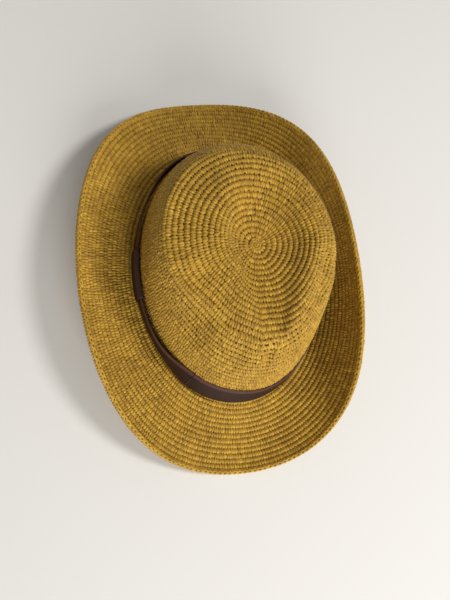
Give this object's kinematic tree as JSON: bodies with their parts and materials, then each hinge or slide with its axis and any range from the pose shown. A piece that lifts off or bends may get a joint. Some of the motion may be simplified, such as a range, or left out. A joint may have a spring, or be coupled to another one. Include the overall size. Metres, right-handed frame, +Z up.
{
  "type": "sun hat",
  "caption": "Crocheted straw-style sun hat with a pinched, dented crown, a brim rolled up at the sides and a dark leather hat band with a sliding keeper.",
  "frame": {"origin": "centre of the head opening, in the plane where the crown turns into the brim", "axes": "+Z up out of the crown as worn, +Y towards the back of the hat, -Y towards the pinched front, +X towards the wearer's left side; the keeper is on -X"},
  "size_m": [0.2311, 0.337, 0.0921],
  "materials": {
    "raffia": "matt crocheted raffia, golden ochre",
    "raffia_edge": "matt crocheted raffia, golden ochre",
    "wire": "drawn wire",
    "sleeve": "crimped tube",
    "band_leather": "smooth dark brown, slightly burnished",
    "thread": "waxed thread",
    "ribbon": "ribbed ribbon",
    "tab": "plain woven tape"
  },
  "bodies": {
    "hat": {"crown_tip": "raffia", "crown_side": "raffia", "brim": "raffia", "brim_edge": "raffia_edge", "brim_wire": "wire", "wire_sleeve": "sleeve", "hat_band": "band_leather", "band_tacks": "thread", "sweatband": "ribbon", "sweatband_stitches": "thread", "size_tab": "tab"},
    "keeper": {"band_keeper": "band_leather", "keeper_seam": "thread"}
  },
  "joints": [
    {"name": "keeper_slide", "type": "hinge", "parent": "hat", "child": "keeper", "pos_m": [0.06138, 0, 0.0095], "axis": [0, 0, 1], "range_deg": [-8, 8]}
  ]
}
